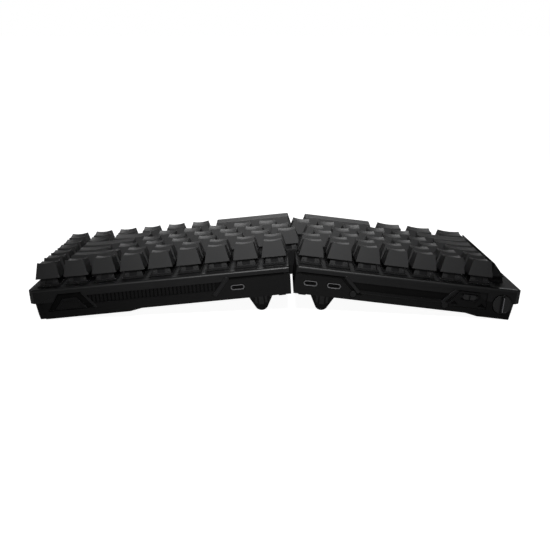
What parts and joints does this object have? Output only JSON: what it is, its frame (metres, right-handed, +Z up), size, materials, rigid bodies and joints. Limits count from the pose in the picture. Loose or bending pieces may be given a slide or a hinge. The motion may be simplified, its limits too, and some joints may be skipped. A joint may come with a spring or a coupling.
{
  "type": "split keyboard",
  "caption": "Ergonomic split keyboard: two tented halves with staggered floating keycaps, fold-out inner feet, rear charging sockets, mode slider and a rear control knob.",
  "frame": {"origin": "centre of the plan box on the desk plane", "axes": "+X to the typist's right, +Y to the rear, +Z up"},
  "size_m": [0.329, 0.1276, 0.0538],
  "materials": {
    "upper_case": "fine satin",
    "lower_case": "matt",
    "plate": "anodised dark",
    "board": "solder mask",
    "switch_housing": "semi-matt",
    "switch_stem": "semi-matt",
    "socket": "bright",
    "trim": "semi-gloss",
    "battery": "foil wrap",
    "rubber": "matt",
    "steel": "plain",
    "foot": "fine satin",
    "knob": "satin",
    "encoder": "matt",
    "keycap": "fine texture",
    "lens": "translucent"
  },
  "bodies": {
    "left_half": {"left_top_case": "upper_case", "left_bottom_case": "lower_case", "left_switch_plate": "plate", "left_circuit_board": "board", "left_switch_housings": "switch_housing", "left_stabilizers": "switch_housing", "left_usb_sockets": "socket", "left_io_board": "board", "left_rear_trim": "trim", "left_side_wing": "upper_case", "left_battery": "battery", "left_rubber_pads": "rubber", "left_case_screws": "steel", "left_foot_pins": "steel", "knob_encoder": "encoder", "mode_switch_body": "encoder", "indicator_lens": "lens"},
    "right_half": {"right_top_case": "upper_case", "right_bottom_case": "lower_case", "right_switch_plate": "plate", "right_circuit_board": "board", "right_switch_housings": "switch_housing", "right_stabilizers": "switch_housing", "right_usb_socket": "socket", "right_io_board": "board", "right_rear_trim": "trim", "right_rubber_pads": "rubber", "right_case_screws": "steel", "right_foot_pins": "steel"},
    "left_row1": {"left_row1_keycaps": "keycap", "left_row1_stems": "switch_stem"},
    "left_row2": {"left_row2_keycaps": "keycap", "left_row2_stems": "switch_stem"},
    "left_row3": {"left_row3_keycaps": "keycap", "left_row3_stems": "switch_stem"},
    "left_row4": {"left_row4_keycaps": "keycap", "left_row4_stems": "switch_stem"},
    "left_row5": {"left_row5_keycaps": "keycap", "left_row5_stems": "switch_stem"},
    "left_row6": {"left_row6_keycaps": "keycap", "left_row6_stems": "switch_stem"},
    "left_foot_front": {"left_front_foot": "foot"},
    "left_foot_rear": {"left_rear_foot": "foot"},
    "right_row1": {"right_row1_keycaps": "keycap", "right_row1_stems": "switch_stem"},
    "right_row2": {"right_row2_keycaps": "keycap", "right_row2_stems": "switch_stem"},
    "right_row3": {"right_row3_keycaps": "keycap", "right_row3_stems": "switch_stem"},
    "right_row4": {"right_row4_keycaps": "keycap", "right_row4_stems": "switch_stem"},
    "right_row5": {"right_row5_keycaps": "keycap", "right_row5_stems": "switch_stem"},
    "right_row6": {"right_row6_keycaps": "keycap", "right_row6_stems": "switch_stem"},
    "right_foot_front": {"right_front_foot": "foot"},
    "right_foot_rear": {"right_rear_foot": "foot"},
    "knob": {"control_knob": "knob"},
    "slider": {"mode_slider": "knob"}
  },
  "joints": [
    {"name": "left_row1_press", "type": "slide", "parent": "left_half", "child": "left_row1", "axis": [-0.1206, -0.0698, 0.9902], "range_m": [-0.0035, 0], "stiffness_N_per_m": 400, "springref_m": 0.002},
    {"name": "left_row2_press", "type": "slide", "parent": "left_half", "child": "left_row2", "axis": [-0.1206, -0.0698, 0.9902], "range_m": [-0.0035, 0], "stiffness_N_per_m": 400, "springref_m": 0.002},
    {"name": "left_row3_press", "type": "slide", "parent": "left_half", "child": "left_row3", "axis": [-0.1206, -0.0698, 0.9902], "range_m": [-0.0035, 0], "stiffness_N_per_m": 400, "springref_m": 0.002},
    {"name": "left_row4_press", "type": "slide", "parent": "left_half", "child": "left_row4", "axis": [-0.1206, -0.0698, 0.9902], "range_m": [-0.0035, 0], "stiffness_N_per_m": 400, "springref_m": 0.002},
    {"name": "left_row5_press", "type": "slide", "parent": "left_half", "child": "left_row5", "axis": [-0.1206, -0.0698, 0.9902], "range_m": [-0.0035, 0], "stiffness_N_per_m": 400, "springref_m": 0.002},
    {"name": "left_row6_press", "type": "slide", "parent": "left_half", "child": "left_row6", "axis": [-0.1206, -0.0698, 0.9902], "range_m": [-0.0035, 0], "stiffness_N_per_m": 400, "springref_m": 0.002},
    {"name": "left_foot_front_fold", "type": "hinge", "parent": "left_half", "child": "left_foot_front", "pos_m": [-0.03389, -0.01422, 0.01909], "axis": [0.9927, 0, 0.1209], "range_deg": [0, 90]},
    {"name": "left_foot_rear_fold", "type": "hinge", "parent": "left_half", "child": "left_foot_rear", "pos_m": [-0.03389, 0.03928, 0.01909], "axis": [-0.9927, 0, -0.1209], "range_deg": [0, 90]},
    {"name": "right_row1_press", "type": "slide", "parent": "right_half", "child": "right_row1", "axis": [0.1011, -0.0698, 0.9924], "range_m": [-0.0035, 0], "stiffness_N_per_m": 400, "springref_m": 0.002},
    {"name": "right_row2_press", "type": "slide", "parent": "right_half", "child": "right_row2", "axis": [0.1011, -0.0698, 0.9924], "range_m": [-0.0035, 0], "stiffness_N_per_m": 400, "springref_m": 0.002},
    {"name": "right_row3_press", "type": "slide", "parent": "right_half", "child": "right_row3", "axis": [0.1011, -0.0698, 0.9924], "range_m": [-0.0035, 0], "stiffness_N_per_m": 400, "springref_m": 0.002},
    {"name": "right_row4_press", "type": "slide", "parent": "right_half", "child": "right_row4", "axis": [0.1011, -0.0698, 0.9924], "range_m": [-0.0035, 0], "stiffness_N_per_m": 400, "springref_m": 0.002},
    {"name": "right_row5_press", "type": "slide", "parent": "right_half", "child": "right_row5", "axis": [0.1011, -0.0698, 0.9924], "range_m": [-0.0035, 0], "stiffness_N_per_m": 400, "springref_m": 0.002},
    {"name": "right_row6_press", "type": "slide", "parent": "right_half", "child": "right_row6", "axis": [0.1011, -0.0698, 0.9924], "range_m": [-0.0035, 0], "stiffness_N_per_m": 400, "springref_m": 0.002},
    {"name": "right_foot_front_fold", "type": "hinge", "parent": "right_half", "child": "right_foot_front", "pos_m": [0.01055, -0.01422, 0.01913], "axis": [0.9949, 0, -0.1013], "range_deg": [0, 90]},
    {"name": "right_foot_rear_fold", "type": "hinge", "parent": "right_half", "child": "right_foot_rear", "pos_m": [0.01055, 0.03928, 0.01913], "axis": [-0.9949, 0, 0.1013], "range_deg": [0, 90]},
    {"name": "knob_turn", "type": "hinge", "parent": "left_half", "child": "knob", "pos_m": [-0.15163, 0.06118, 0.01108], "axis": [-0.0084, 0.9976, 0.0692], "continuous": true},
    {"name": "mode_slide", "type": "slide", "parent": "left_half", "child": "slider", "axis": [-0.9927, 0, -0.1209], "range_m": [-0.0018, 0.0018]},
    {"name": "half_spread", "type": "slide", "parent": "left_half", "child": "right_half", "axis": [1, 0, 0], "range_m": [0, 0.08]}
  ]
}
